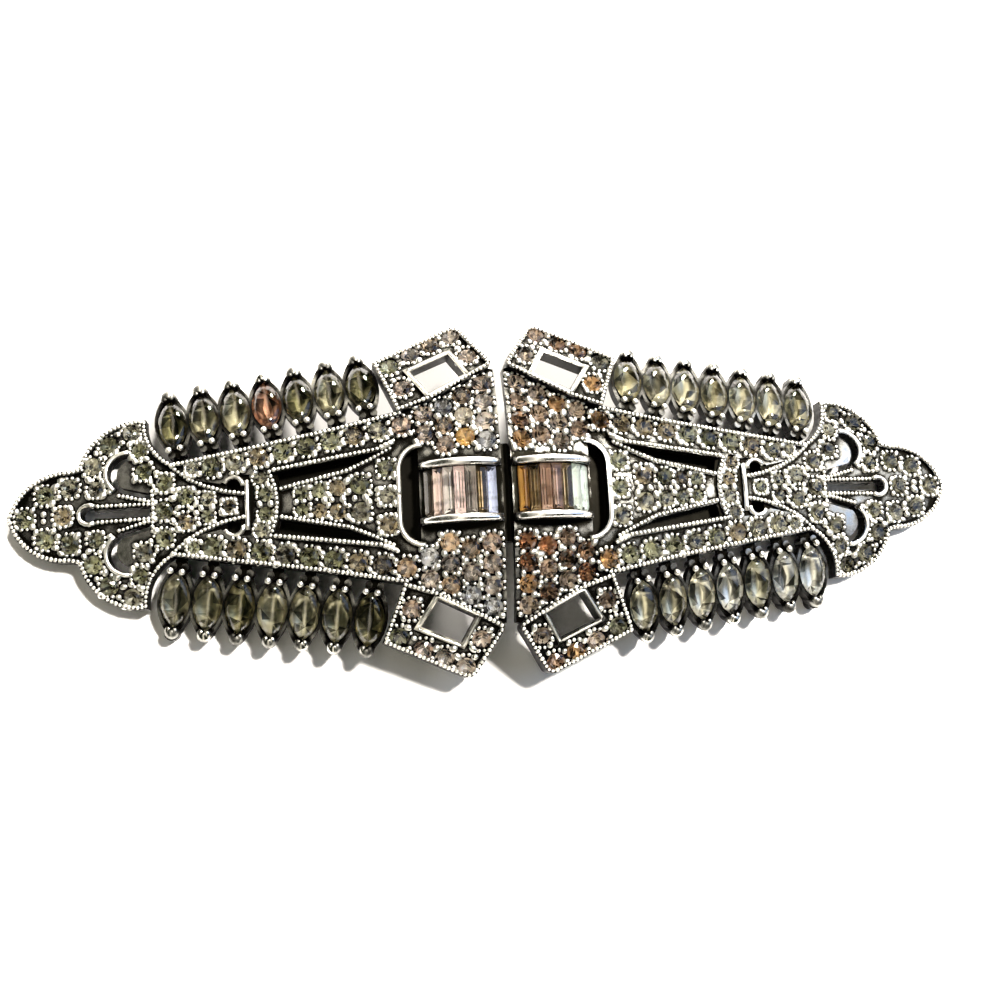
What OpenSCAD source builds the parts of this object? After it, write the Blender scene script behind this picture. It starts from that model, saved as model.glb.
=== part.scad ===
// Double-clip brooch set with clear stones, lying on its back.
// Two mirrored dress clips share a dome and slope down from the centre to their tips.
// X runs along the brooch, Y across it, and Z up from the surface it rests on.
// Every place is given on the right-hand clip's upper quarter as u, v: along the length
// from the centre line, and across it from the long axis, both seen from above.

/* [Overall] */
// Length from tip to tip
length = 84; // [70:1:100]
// Slope of each clip from the centre down to its tip, in degrees
slope = 10; // [9:0.5:11]
// Radius of the dome across the brooch
dome_r = 26; // [25:0.5:28]
// Gap between the two clips at the centre line
clip_gap = 0.8; // [0.6:0.1:1]

/* [Metal] */
// Thickness of the cast plate
plate_t = 1.2; // [1.1:0.05:1.4]
// Width of the raised rails along the edges
rail_w = 0.4; // [0.3:0.05:0.45]
// Height of the rails above the metal they edge
rail_h = 0.3; // [0.2:0.05:0.4]
// Height of the two long arms above the plate
arm_lift = 0.35; // [0.2:0.05:0.5]
// Height of the wing panels above the plate
panel_lift = 0.7; // [0.5:0.1:0.9]

/* [Stones] */
// Share of full size that the round stones have
round_size = 1; // [0.9:0.02:1.02]
// Length of a pointed oval stone
navette_l = 4.9; // [4.6:0.1:5]
// Width of a pointed oval stone
navette_w = 2.35; // [2.1:0.05:2.4]
// Length of a baguette stone in the barrel
baguette_l = 3.9; // [3.5:0.1:4.2]
// Clearance between a stone and its seat
seat_gap = 0.09; // [0.08:0.01:0.1]

/* [Back] */
// Diameter of the pin stem
pin_d = 0.8; // [0.6:0.1:1]
// Distance of the pin's joint and catch from the centre line
pin_reach = 24; // [22:0.5:24.5]

/* [Hidden] */
$fn = 32;
SIDES = ["left", "right"];
ROWS = ["top", "bottom"];
NAVETTES = 7;
BAGUETTES = 7;

METAL = [0.72, 0.72, 0.70];
DARK_METAL = [0.45, 0.44, 0.42];
CLEAR = [0.86, 0.85, 0.78];
SMOKE = [0.60, 0.60, 0.50];

// The plan is drawn for this length and scaled to the wanted one
plan_length = 84;
tip_u = plan_length / 2;
fit = length / plan_length;
// Rails start a little inside the metal below them
bite = 0.2;
// Upright prisms reach past the dome, and the dome past both of a clip's ends
PRISM = [-16, 6];
DOME_SPAN = [-20, 60];
EPS = 0.01;

// Wing panel, counter to the clock: inner, foot, outer foot, outer and top corners
PANEL = [[0.45, 11.2], [5.9, 8.2], [8.85, 7.2], [10.8, 12.1], [3.3, 15.6]];
PANEL_ROUND = [0.5, 0, 0, 0, 0.9];
// Open window in the panel, in the same order
WINDOW = [[3, 10.35], [6.1, 8.75], [7.6, 10.95], [4.2, 12.45]];
// Edge of the plate between the centre line and the arm, which the panel covers
PLATE_TOP = [[clip_gap / 2, 10.95], [1.4, 11.2], [6.1, 8.5]];
// Outer and inner edges of the long arm
ARM_OUTER = [[8.7, 7.35], [15, 6.1], [21, 5.1], [27.8, 4]];
ARM_INNER = [[27.8, 3.5], [25.8, 2.35], [23.9, 1.95], [22.8, 2.6], [19.3, 2.6], [10.6, 3.85], [9.2, 4.5]];
// Long slot between the arm and the tongue
SLOT = [[10.6, 3.85], [13.2, 2.6], [18.85, 1.4], [19.1, 2.6]];
// Rail along the slot's tongue side
TONGUE_RAIL = [[9.6, 4.1], [11.4, 3.2], [13.2, 2.4], [18.8, 1.2]];
// Bowed rail that closes the slots, and the plain bar beside the small holes
SLOT_END_RAIL = [[19.75, 2.7], [19.3, 1.4], [19.15, 0], [19.3, -1.4], [19.75, -2.7]];
CROSSBAR = [[21.65, -2.1], [21.65, 2.1]];
// Rail where the palmette leaves the crossbar
PALMETTE_RAIL = [[22, 1], [23.6, 1.3], [25.2, 1.85], [26.6, 2.55], [28, 3.7]];
// Small arched hole beside the crossbar: middle, radius and flat foot
HOLE = [22.8, 1.7];
HOLE_R = 0.62;
HOLE_FOOT = 1.2;
// Opening beyond the barrel: middle and radius of its round corner, and its rim
D_CORNER = [6.95, 2.2];
D_R = 1.8;
D_RIM_R = 2.05;
// The opening's corner stops short of a quarter turn, where the barrel begins
D_SPAN = [0, 78];

// Tip outline: hollow that faces the first pointed oval stone, shoulder lobe and end lobe
HOLLOW = [25.9, 7.9];
HOLLOW_R = 4.4;
HOLLOW_SPAN = [-62, 3.5];
SHOULDER = [30.9, 3];
SHOULDER_R = 5.2;
SHOULDER_SPAN = [87, 12.5];
END_LOBE = [37, -1.2];
END_LOBE_R = norm([tip_u, 0] - END_LOBE);
END_LOBE_SPAN = [93, -atan2(END_LOBE[1], tip_u - END_LOBE[0])];
// Pierced keyhole on the axis: head, stem and rim
KEY_HEAD = [35.05, 0];
KEY_HEAD_R = 0.62;
KEY_STEM = [[29.9, 0.45], [29.9, -0.45]];
KEY_SPAN = [-150, 150];
KEY_RIM_R = 0.8;
KEY_RIM_SPAN = [-110, 110];
// Pierced crescent behind the scroll, the straight cut at its tail, and its rim
SCROLL_OUT = [31.85, 3.45];
SCROLL_OUT_R = 1.6;
SCROLL_OUT_SPAN = [-60, 105];
SCROLL_IN = [31.35, 3.2];
SCROLL_IN_R = 1.4;
SCROLL_IN_SPAN = [95, -50];
SCROLL_TAIL = [[29.9, 1.05], [32.5, 1.75], [32.75, 2.3], [29.9, 1.55]];
SCROLL_RIM_R = 1.8;
SCROLL_RIM_SPAN = [-55, 95];

// Rows of round stones: first u, v, last u, v, number, diameter, height of the metal they sit in
STONE_ROWS = [
    [1.5, 9.6, 1.5, 4.35, 4, 1.65, 0],
    [3.25, 8.55, 3.25, 4.75, 3, 1.65, 0],
    [4.95, 7.6, 4.95, 4.15, 3, 1.6, 0],
    [6.65, 7.05, 6.65, 5.25, 2, 1.6, 0],
    [8.5, 5.95, 24.6, 3.35, 9, 1.65, arm_lift],
    [3.75, 14, 7.3, 12.45, 3, 1.65, panel_lift]
];
// Single round stones: u, v, diameter, height of the metal they sit in
STONES = [
    [2.45, 11.9, 1.6, panel_lift], [9.25, 11.35, 1.65, panel_lift], [8.2, 9.2, 1.6, panel_lift],
    [26.15, 3.3, 1, arm_lift],
    [9.95, 0, 1.4, 0], [9.95, 2.4, 1.5, 0], [12.2, 1.15, 1.65, 0],
    [14.1, 1, 1.4, 0], [15.65, 0.85, 1.25, 0], [17.1, 0.7, 1.1, 0],
    [20.15, 0.8, 1.2, 0], [20.55, 2.25, 1.15, 0],
    [23.2, 0, 1.1, 0], [25.05, 0.72, 1.15, 0], [26.85, 1.05, 1.4, 0],
    [28.7, 0, 1.6, 0], [28.7, 2.35, 1.5, 0],
    [30.45, 3.5, 1.5, 0], [30.85, 5.4, 1.3, 0], [31.6, 7.1, 1.5, 0], [33.5, 6.05, 1.6, 0],
    [34.8, 4.2, 1.6, 0], [34.5, 2.2, 1.35, 0], [36.75, 2.4, 1.6, 0], [38.85, 1.9, 1.6, 0],
    [37.3, 0, 1.5, 0], [40.55, 0, 1.6, 0]
];

// A round stone's table, crown height and depth below the girdle, as shares of its diameter
ROUND_TABLE = 0.56;
ROUND_CROWN = 0.17;
ROUND_DEPTH = 0.43;
ROUND_SIDES = 8;
// Seats are cut from below each stone to clear of the rails
SEAT_H = 3;

// Outermost pointed oval stone's middle, the step to the next one, and how far they lean
NAVETTE_FIRST = [28, 7.5];
NAVETTE_STEP = [-2.7, 0.42];
NAVETTE_LEAN = 11;
// Crown height, depth below the girdle, and the table's share of the length and width
NAVETTE_CROWN = 0.45;
NAVETTE_DEPTH = 0.8;
NAVETTE_TABLE = [0.62, 0.55];
NAVETTE_SIDES = 12;
// Wall of the cup round the stone, and its top above the plate's face
CUP_WALL = 0.35;
CUP_TOP = 0.15;
// Knob beyond the stone's outer tip
KNOB_R = 0.65;
KNOB_OUT = 0.3;
// Foot under the outermost knob
FOOT_OUT = 0.3;
FOOT_H = 1.3;
// Pair of posts at the stone's inner tip
POST_R = 0.3;
POST_OUT = 0.5;
POST_IN = 0.3;
POST_TOP = 0.45;
// Bar from the cup to the arm
BAR_W = 0.9;
BAR_REACH = 1.7;

// Barrel: middle along the slope, half its chord and its rise above the plate
BARREL_S = 3.92;
BARREL_HALF = 3.47;
BARREL_RISE = 1.65;
BARREL_RAIL = 0.6;
BARREL_LIP = 0.12;
barrel_r = (BARREL_HALF * BARREL_HALF + BARREL_RISE * BARREL_RISE) / (2 * BARREL_RISE);
barrel_end = baguette_l / 2 + seat_gap + BARREL_RAIL;
BAGUETTE_STEP = 13.2;
BAGUETTE_CROWN = 0.28;
BAGUETTE_DEPTH = 0.42;
BAGUETTE_SPACE = 0.12;
BAGUETTE_INSET = 0.22;
BAGUETTE_KEEL = 0.5;
baguette_w = 2 * (barrel_r - BAGUETTE_CROWN) * sin(BAGUETTE_STEP / 2) - BAGUETTE_SPACE;

// Back frame and pin
FRAME_T = 0.9;
FRAME_GAP = 0.1;
FRAME_END = 25.5;
FRAME_HALF = 4.2;
FRAME_LAP = 0.3;
// Plan size of the blocks that hold the pin, and what they have below and above it
PIN_BLOCK = [2, 3];
PIN_BLOCK_UNDER = 0.2;
PIN_BLOCK_OVER = 0.7;
PIN_OVERHANG = 1.5;
// Height of the pin's underside above the resting surface
PIN_CLEAR = 0.7;

// All round stones of the upper quarter as u, v, diameter, height; those on the axis have v = 0
function row_stones(r) = [
    for (i = [0 : r[4] - 1])
        let (t = i / (r[4] - 1)) [r[0] + t * (r[2] - r[0]), r[1] + t * (r[3] - r[1]), r[5], r[6]]
];
quarter_stones = concat([for (r = STONE_ROWS) each row_stones(r)], STONES);
// The whole clip's round stones
clip_stones = concat(quarter_stones, [for (s = quarter_stones) if (s[1] > 0) [s[0], -s[1], s[2], s[3]]]);

function navette_at(i) = NAVETTE_FIRST + (i - 1) * NAVETTE_STEP;
// Plan place d beyond the middle of pointed oval stone i, towards its outer tip
function beyond_navette(i, d) = navette_at(i) + d * [sin(NAVETTE_LEAN), cos(NAVETTE_LEAN)];
// Depth of the plate's underside below the top of the dome, at plan place p
function underside(p) =
    p[0] * tan(slope) + (dome_r - sqrt(pow(dome_r - plate_t, 2) - p[1] * p[1])) / cos(slope);
function unit(v) = v / norm(v);
function left_of(v) = [-v[1], v[0]];

// Arc from the span's first angle to its second
function arc(middle, r, span, steps) = [
    for (i = [0 : steps])
        let (a = span[0] + (span[1] - span[0]) * i / steps) middle + r * [cos(a), sin(a)]
];
// Corner b of the path a, b, c, moved d to its left
function mitre(a, b, c, d) =
    let (n = left_of(unit(b - a)), m = unit(n + left_of(unit(c - b)))) b + m * d / (m * n);
// Path moved d to its left
function shifted(path, d, closed = false) = [
    for (i = [0 : len(path) - 1])
        let (
            n = len(path),
            a = closed || i > 0 ? path[(i + n - 1) % n] : 2 * path[0] - path[1],
            c = closed || i < n - 1 ? path[(i + 1) % n] : 2 * path[n - 1] - path[n - 2]
        )
        mitre(a, path[i], c, d)
];
function reversed(list) = [for (i = [len(list) - 1 : -1 : 0]) list[i]];
// Corner p between a and b as an arc of radius r
function fillet(a, p, b, r) =
    r == 0 ? [p] :
    let (
        da = unit(a - p), db = unit(b - p),
        half = acos(da * db) / 2,
        middle = p + unit(da + db) * r / sin(half),
        start = p + da * r / tan(half), end = p + db * r / tan(half),
        from = atan2(start[1] - middle[1], start[0] - middle[0]),
        turn = 180 - 2 * half
    )
    arc(middle, r, [from, from + turn], 5);
function rounded(points, radii) = [
    for (i = [0 : len(points) - 1])
        let (n = len(points))
        each fillet(points[(i + n - 1) % n], points[i], points[(i + 1) % n], radii[i])
];

// The brooch rests on its tips or on the outermost cups, whichever are lower
cup_tip = navette_l / 2 + 2 * CUP_WALL;
rest_drop = max(underside([tip_u, 0]), underside(beyond_navette(1, cup_tip)));
pin_z = PIN_CLEAR + pin_d / 2 - rest_drop;

panel_outline = rounded(PANEL, PANEL_ROUND);
tip_edge = concat(
    arc(HOLLOW, HOLLOW_R, HOLLOW_SPAN, 6),
    arc(SHOULDER, SHOULDER_R, SHOULDER_SPAN, 8),
    arc(END_LOBE, END_LOBE_R, END_LOBE_SPAN, 8)
);
plate_edge = concat(PLATE_TOP, ARM_OUTER, tip_edge);
key_outline = concat(KEY_STEM, arc(KEY_HEAD, KEY_HEAD_R, KEY_SPAN, 12));
crescent_outline = concat(
    arc(SCROLL_OUT, SCROLL_OUT_R, SCROLL_OUT_SPAN, 9),
    arc(SCROLL_IN, SCROLL_IN_R, SCROLL_IN_SPAN, 9)
);
hole_outline = concat(
    [[HOLE[0] - HOLE_R, HOLE_FOOT], [HOLE[0] + HOLE_R, HOLE_FOOT]], arc(HOLE, HOLE_R, [0, 180], 8)
);
key_rim = arc(KEY_HEAD, KEY_RIM_R, KEY_RIM_SPAN, 10);
hole_rim = arc(HOLE, HOLE_R + rail_w / 2, [20, 180], 8);
scroll_rim = arc(SCROLL_OUT, SCROLL_RIM_R, SCROLL_RIM_SPAN, 10);
slot_side = [ARM_INNER[4], ARM_INNER[5], ARM_INNER[6]];
d_rim = concat(
    arc(D_CORNER, D_RIM_R, [90, 0], 6),
    arc([D_CORNER[0], -D_CORNER[1]], D_RIM_R, [0, -90], 6)
);
barrel_edge = (BARREL_S + BARREL_HALF) * cos(slope);
d_edge = concat(arc(D_CORNER, D_R, D_SPAN, 6), [[barrel_edge, D_CORNER[1] + D_R]]);

// Whole outline from the edge of its upper half, which runs from the left to the right
function whole(edge) = concat(edge, [for (p = reversed(edge)) if (p[1] > EPS) [p[0], -p[1]]]);

// A flat strip along an open path
module band(path, w) {
    polygon(concat(shifted(path, w / 2), reversed(shifted(path, -w / 2))));
}

// Its children and their mirror image across the long axis
module both() {
    children();
    mirror([0, 1, 0]) children();
}

// Dome between two heights above the plate's face
module shell(low, high) {
    rotate([0, slope, 0])
        translate([DOME_SPAN[0], 0, -dome_r])
            rotate([0, 90, 0])
                difference() {
                    span = DOME_SPAN[1] - DOME_SPAN[0];
                    cylinder(r = dome_r + high, h = span, $fn = 96);
                    translate([0, 0, -1]) cylinder(r = dome_r + low, h = span + 2, $fn = 96);
                }
}

// Upright prism of a flat plan, taller than the dome
module prism() {
    translate([0, 0, PRISM[0]]) linear_extrude(PRISM[1] - PRISM[0]) children();
}

// Prisms carried on to the dome between two heights
module relief(low, high) {
    intersection() {
        union() children();
        shell(low, high);
    }
}

// Places children on the dome at plan place u, v, with Z along the dome's outward normal
module on_dome(u, v, lift = 0) {
    sag = dome_r - sqrt(dome_r * dome_r - v * v);
    rotate([0, slope, 0])
        translate([(u + sag * sin(slope)) / cos(slope), 0, -dome_r])
            rotate([-asin(v / dome_r), 0, 0])
                translate([0, 0, dome_r + lift])
                    children();
}

// Puts a clip's geometry on its side of the centre line, above the resting surface
module on_side(side) {
    scale(fit)
        translate([0, 0, rest_drop])
            mirror([side == "left" ? 1 : 0, 0, 0])
                children();
}

// Pointed oval of two arcs, its length along Y
module pointed_oval(l, w) {
    r = (l * l + w * w) / (4 * w);
    intersection() {
        translate([r - w / 2, 0]) circle(r, $fn = 64);
        translate([w / 2 - r, 0]) circle(r, $fn = 64);
    }
}

// Everything that is cut right through the plate
module openings() {
    both()
        for (outline = [SLOT, WINDOW, hole_outline, crescent_outline, SCROLL_TAIL])
            prism() polygon(outline);
    prism() polygon(key_outline);
    prism() polygon(whole(d_edge));
}

// Rails that stand on the plate itself
module plate_rails() {
    relief(-bite, rail_h) {
        for (path = [SLOT_END_RAIL, CROSSBAR, key_rim, d_rim, shifted(whole(tip_edge), -rail_w / 2)])
            prism() band(path, rail_w);
        both()
            for (path = [TONGUE_RAIL, PALMETTE_RAIL, hole_rim, scroll_rim])
                prism() band(path, rail_w);
    }
}

// Raised arms with their rails
module arms() {
    relief(-2 * bite, arm_lift)
        both() prism() polygon(concat(reversed(ARM_OUTER), reversed(ARM_INNER)));
    relief(-bite, arm_lift + rail_h)
        both()
            for (path = [shifted(ARM_OUTER, -rail_w / 2), shifted(slot_side, -rail_w / 2)])
                prism() band(path, rail_w);
}

// Raised wing panels, with rails round their edges and windows
module panels() {
    relief(-plate_t, panel_lift) both() prism() polygon(panel_outline);
    relief(-bite, panel_lift + rail_h)
        both() {
            difference() {
                prism() polygon(panel_outline);
                prism() polygon(shifted(panel_outline, rail_w, closed = true));
            }
            prism() polygon(shifted(WINDOW, -rail_w, closed = true));
        }
}

// Blind round seats, one for each round stone
module seats() {
    for (s = clip_stones) {
        d = s[2] * round_size;
        on_dome(s[0], s[1], s[3] - ROUND_DEPTH * d - seat_gap)
            cylinder(d = d + 2 * seat_gap, h = SEAT_H, $fn = 24);
    }
}

// Plan of pointed oval stone i's setting: its children, with the stone's length along Y
module navette_plan(i) {
    prism() translate(navette_at(i)) rotate(-NAVETTE_LEAN) children();
}

// Two rows of cups for the pointed oval stones, with outer knobs, inner posts and bars to the arm
module galleries() {
    tip = navette_l / 2;
    cup_w = navette_w + 2 * CUP_WALL;
    both() {
        difference() {
            union() {
                relief(-plate_t, CUP_TOP)
                    for (i = [1 : NAVETTES])
                        navette_plan(i) pointed_oval(2 * cup_tip, cup_w);
                for (i = [1 : NAVETTES]) on_navette(i) knob();
            }
            relief(CUP_TOP - NAVETTE_DEPTH - seat_gap, CUP_TOP + 1)
                for (i = [1 : NAVETTES])
                    navette_plan(i) pointed_oval(navette_l + 4 * seat_gap, navette_w + 2 * seat_gap);
        }
        relief(-plate_t + bite, -bite)
            for (i = [1 : NAVETTES])
                navette_plan(i) translate([-BAR_W / 2, -tip - BAR_REACH]) square([BAR_W, BAR_REACH]);
        relief(-plate_t + bite / 2, POST_TOP)
            for (i = [1 : NAVETTES], x = [-1, 1])
                navette_plan(i) translate([x * POST_OUT, -tip - POST_IN]) circle(POST_R, $fn = 16);
    }
}

// Rounded knob beyond a pointed oval stone's outer tip
module knob() {
    translate([0, navette_l / 2 + KNOB_OUT, -plate_t])
        cylinder(r = KNOB_R, h = plate_t + CUP_TOP);
    translate([0, navette_l / 2 + KNOB_OUT, CUP_TOP]) sphere(KNOB_R);
}

// Places children at the middle of pointed oval stone i, with its length along Y
module on_navette(i) {
    at = navette_at(i);
    on_dome(at[0], at[1]) rotate([0, 0, -NAVETTE_LEAN]) children();
}

// Foot under the outermost knob, which steadies the brooch where it rests
module foot() {
    at = beyond_navette(1, navette_l / 2 + FOOT_OUT);
    translate([at[0], at[1], -rest_drop]) cylinder(r = KNOB_R, h = FOOT_H);
}

// Places children at the barrel's axis, which runs along Y, with Z up from the slope
module on_barrel() {
    rotate([0, slope, 0])
        translate([BARREL_S, 0, BARREL_RISE - barrel_r])
            children();
}

// Channel setting of the baguettes: an arched core between two end rails
module barrel() {
    intersection() {
        on_barrel()
            rotate([90, 0, 0]) {
                core_r = barrel_r - BAGUETTE_CROWN - BAGUETTE_DEPTH - seat_gap;
                translate([0, 0, -barrel_end]) cylinder(r = core_r, h = 2 * barrel_end, $fn = 96);
                for (z = [-barrel_end, barrel_end - BARREL_RAIL])
                    translate([0, 0, z]) cylinder(r = barrel_r + BARREL_LIP, h = BARREL_RAIL, $fn = 96);
            }
        rotate([0, slope, 0])
            translate([BARREL_S - BARREL_HALF, -barrel_end, bite - plate_t])
                cube([2 * BARREL_HALF, 2 * barrel_end, 6]);
    }
}

// Cast body of a clip, with all that is soldered to it
module clip(side) {
    color(METAL)
        on_side(side)
            difference() {
                union() {
                    relief(-plate_t, 0) prism() polygon(whole(plate_edge));
                    plate_rails();
                    arms();
                    panels();
                    galleries();
                    both() foot();
                    barrel();
                }
                openings();
                seats();
            }
}

// Regular polygon of n points on a circle of diameter d at height z
function ring(n, d, z, turn = 0) = [
    for (i = [0 : n - 1]) let (a = 360 * i / n + turn) [d / 2 * cos(a), d / 2 * sin(a), z]
];

// Round stone with its girdle at the origin: table, sixteen crown facets and eight below
module round_stone(d) {
    n = ROUND_SIDES;
    polyhedron(
        points = concat(
            ring(n, d, 0),
            ring(n, ROUND_TABLE * d, ROUND_CROWN * d, 180 / n),
            [[0, 0, -ROUND_DEPTH * d]]
        ),
        faces = concat(
            [[for (i = [n - 1 : -1 : 0]) n + i]],
            [for (i = [0 : n - 1]) [n + i, (i + 1) % n, i]],
            [for (i = [0 : n - 1]) [n + i, n + (i + 1) % n, (i + 1) % n]],
            [for (i = [0 : n - 1]) [i, (i + 1) % n, 2 * n]]
        )
    );
}

// All round stones of a clip, each standing clear in its seat
module pave(side) {
    color(CLEAR)
        on_side(side)
            for (s = clip_stones) on_dome(s[0], s[1], s[3]) round_stone(s[2] * round_size);
}

// Points of a pointed oval's outline, n along each of its two arcs
function oval_points(l, w, z, n) =
    let (r = (l * l + w * w) / (4 * w), spread = asin(l / 2 / r))
    concat(
        [for (i = [0 : n - 1])
            let (a = -spread + 2 * spread * i / n) [r * cos(a) - r + w / 2, r * sin(a), z]],
        [for (i = [0 : n - 1])
            let (a = -spread + 2 * spread * i / n) [r - w / 2 - r * cos(a), -r * sin(a), z]]
    );

// Pointed oval stone with its girdle at the origin
module navette_stone() {
    n = NAVETTE_SIDES;
    polyhedron(
        points = concat(
            oval_points(navette_l, navette_w, 0, n / 2),
            oval_points(NAVETTE_TABLE[0] * navette_l, NAVETTE_TABLE[1] * navette_w, NAVETTE_CROWN, n / 2),
            [[0, 0, -NAVETTE_DEPTH]]
        ),
        faces = concat(
            [[for (i = [n - 1 : -1 : 0]) n + i]],
            [for (i = [0 : n - 1]) [n + i, (i + 1) % n, i]],
            [for (i = [0 : n - 1]) [n + i, n + (i + 1) % n, (i + 1) % n]],
            [for (i = [0 : n - 1]) [i, (i + 1) % n, 2 * n]]
        )
    );
}

module navette(side, row, i) {
    color(SMOKE)
        on_side(side)
            mirror([0, row == "top" ? 0 : 1, 0])
                on_navette(i)
                    translate([0, 0, CUP_TOP]) navette_stone();
}

// Baguette with its girdle at the origin: table, four crown facets and four below
module baguette_stone() {
    x = baguette_w / 2;
    y = baguette_l / 2;
    inset = BAGUETTE_INSET;
    keel = y - BAGUETTE_KEEL;
    polyhedron(
        points = [
            [-x, -y, 0], [x, -y, 0], [x, y, 0], [-x, y, 0],
            [inset - x, inset - y, BAGUETTE_CROWN], [x - inset, inset - y, BAGUETTE_CROWN],
            [x - inset, y - inset, BAGUETTE_CROWN], [inset - x, y - inset, BAGUETTE_CROWN],
            [0, -keel, -BAGUETTE_DEPTH], [0, keel, -BAGUETTE_DEPTH]
        ],
        faces = [
            [7, 6, 5, 4], [4, 5, 1, 0], [5, 6, 2, 1], [6, 7, 3, 2], [7, 4, 0, 3],
            [0, 1, 8], [1, 2, 9, 8], [2, 3, 9], [3, 0, 8, 9]
        ]
    );
}

module baguette(side, i) {
    color(CLEAR)
        on_side(side)
            on_barrel()
                rotate([0, (i - (BAGUETTES + 1) / 2) * BAGUETTE_STEP, 0])
                    translate([0, 0, barrel_r - BAGUETTE_CROWN]) baguette_stone();
}

// One half of the frame under the clips, which follows the dome, and its block for the pin
module frame_half() {
    relief(-plate_t - FRAME_GAP - FRAME_T, -plate_t - FRAME_GAP)
        prism() translate([-FRAME_LAP, -FRAME_HALF]) square([FRAME_END + FRAME_LAP, 2 * FRAME_HALF]);
    translate([pin_reach - PIN_BLOCK[0] / 2, -PIN_BLOCK[1] / 2, pin_z - pin_d / 2 - PIN_BLOCK_UNDER])
        cube([PIN_BLOCK[0], PIN_BLOCK[1], pin_d + PIN_BLOCK_UNDER + PIN_BLOCK_OVER]);
}

// Frame that joins the two clips, with its pin closed
module back_frame() {
    color(DARK_METAL)
        scale(fit)
            translate([0, 0, rest_drop]) {
                frame_half();
                mirror([1, 0, 0]) frame_half();
                translate([-pin_reach, 0, pin_z])
                    rotate([0, 90, 0]) cylinder(d = pin_d, h = 2 * pin_reach + PIN_OVERHANG);
            }
}

for (side = SIDES) {
    clip(side);
    pave(side);
    for (i = [1 : BAGUETTES])
        baguette(side, i);
    for (row = ROWS, i = [1 : NAVETTES])
        navette(side, row, i);
}
back_frame();
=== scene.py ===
"""Looks of a double-clip rhinestone brooch, built round its CAD frame.

Plan places are u, v in millimetres on one quarter of the brooch: u along it from the centre
line, v across it from the long axis. Every piece is made in millimetres and brought to metres
as it is placed on the dome that both clips share.
"""
from __future__ import annotations

import logging
import math
import random
from dataclasses import dataclass, field
from enum import Enum

import bmesh
import bpy
from mathutils import Matrix, Vector

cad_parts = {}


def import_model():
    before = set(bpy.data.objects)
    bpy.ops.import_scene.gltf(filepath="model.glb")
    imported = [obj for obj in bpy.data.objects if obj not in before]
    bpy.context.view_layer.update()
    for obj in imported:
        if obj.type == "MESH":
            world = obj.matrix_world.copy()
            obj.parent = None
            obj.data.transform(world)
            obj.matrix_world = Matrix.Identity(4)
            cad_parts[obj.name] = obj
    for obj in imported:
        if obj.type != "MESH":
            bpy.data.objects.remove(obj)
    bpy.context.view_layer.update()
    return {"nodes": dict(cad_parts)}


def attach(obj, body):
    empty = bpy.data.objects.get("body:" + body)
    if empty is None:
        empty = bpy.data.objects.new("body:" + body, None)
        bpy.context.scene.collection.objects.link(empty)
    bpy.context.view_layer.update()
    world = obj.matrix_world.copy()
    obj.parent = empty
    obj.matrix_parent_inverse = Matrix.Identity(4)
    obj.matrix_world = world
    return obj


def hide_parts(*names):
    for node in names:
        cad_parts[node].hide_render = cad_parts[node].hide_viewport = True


LOG = logging.getLogger("brooch")
MM = 0.001
BODY = "root"

# Faces that turn by less than this are one facet of a stone
FACET_TURN = math.radians(1)
# Slopes from which a facet belongs to the foiled back, and from which wear has rounded it
BACK_SLOPE = 0.01
WORN_SLOPE = 0.1

Path = list[Vector]
Colour = tuple[float, float, float, float]
Material = bpy.types.Material


class Side(Enum):
    """The two clips, by the sign of their X."""

    LEFT = -1
    RIGHT = 1

    @property
    def word(self) -> str:
        """Name of the side in the nodes' names."""
        return self.name.lower()


class Row(Enum):
    """The two rows of pointed oval stones, by the sign of their Y."""

    TOP = 1
    BOTTOM = -1

    @property
    def word(self) -> str:
        """Name of the row in the nodes' names."""
        return self.name.lower()


QUARTERS = [(side, row) for side in Side for row in Row]


def linear(hex_colour: str) -> Colour:
    """Linear colour of an sRGB hex value.

    Args:
        hex_colour: six hex digits, such as "c0c0b8".

    Returns:
        Red, green, blue and an alpha of 1.
    """
    channels = [int(hex_colour[i : i + 2], 16) / 255 for i in (0, 2, 4)]
    return (*[c / 12.92 if c <= 0.04045 else ((c + 0.055) / 1.055) ** 2.4 for c in channels], 1.0)


def add_node(
    tree: bpy.types.NodeTree, kind: str, inputs: dict | None = None, **settings
) -> bpy.types.Node:
    """Adds a node with its settings and inputs.

    Args:
        tree: node tree that the node goes into.
        kind: Blender's name of the node type.
        inputs: value or output socket for each input, by the input's name or number.
        **settings: properties of the node itself.

    Returns:
        The new node.
    """
    node = tree.nodes.new(kind)
    for name, value in settings.items():
        setattr(node, name, value)
    for name, value in (inputs or {}).items():
        if isinstance(value, bpy.types.NodeSocket):
            tree.links.new(value, node.inputs[name])
        else:
            node.inputs[name].default_value = value
    return node


def new_material(name: str) -> tuple[Material, bpy.types.NodeTree]:
    """A material with an empty node tree.

    Args:
        name: the material's name.

    Returns:
        The material and its tree.
    """
    material = bpy.data.materials.new(name)
    material.use_nodes = True
    material.node_tree.nodes.clear()
    return material, material.node_tree


def arc(
    middle: tuple[float, float], radius: float, span: tuple[float, float], steps: int
) -> Path:
    """Points on an arc.

    Args:
        middle: the arc's middle.
        radius: its radius.
        span: first and last angle in degrees.
        steps: number of stretches.

    Returns:
        The arc's points.
    """
    angles = [math.radians(span[0] + (span[1] - span[0]) * i / steps) for i in range(steps + 1)]
    return [Vector(middle) + radius * Vector((math.cos(a), math.sin(a))) for a in angles]


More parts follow.
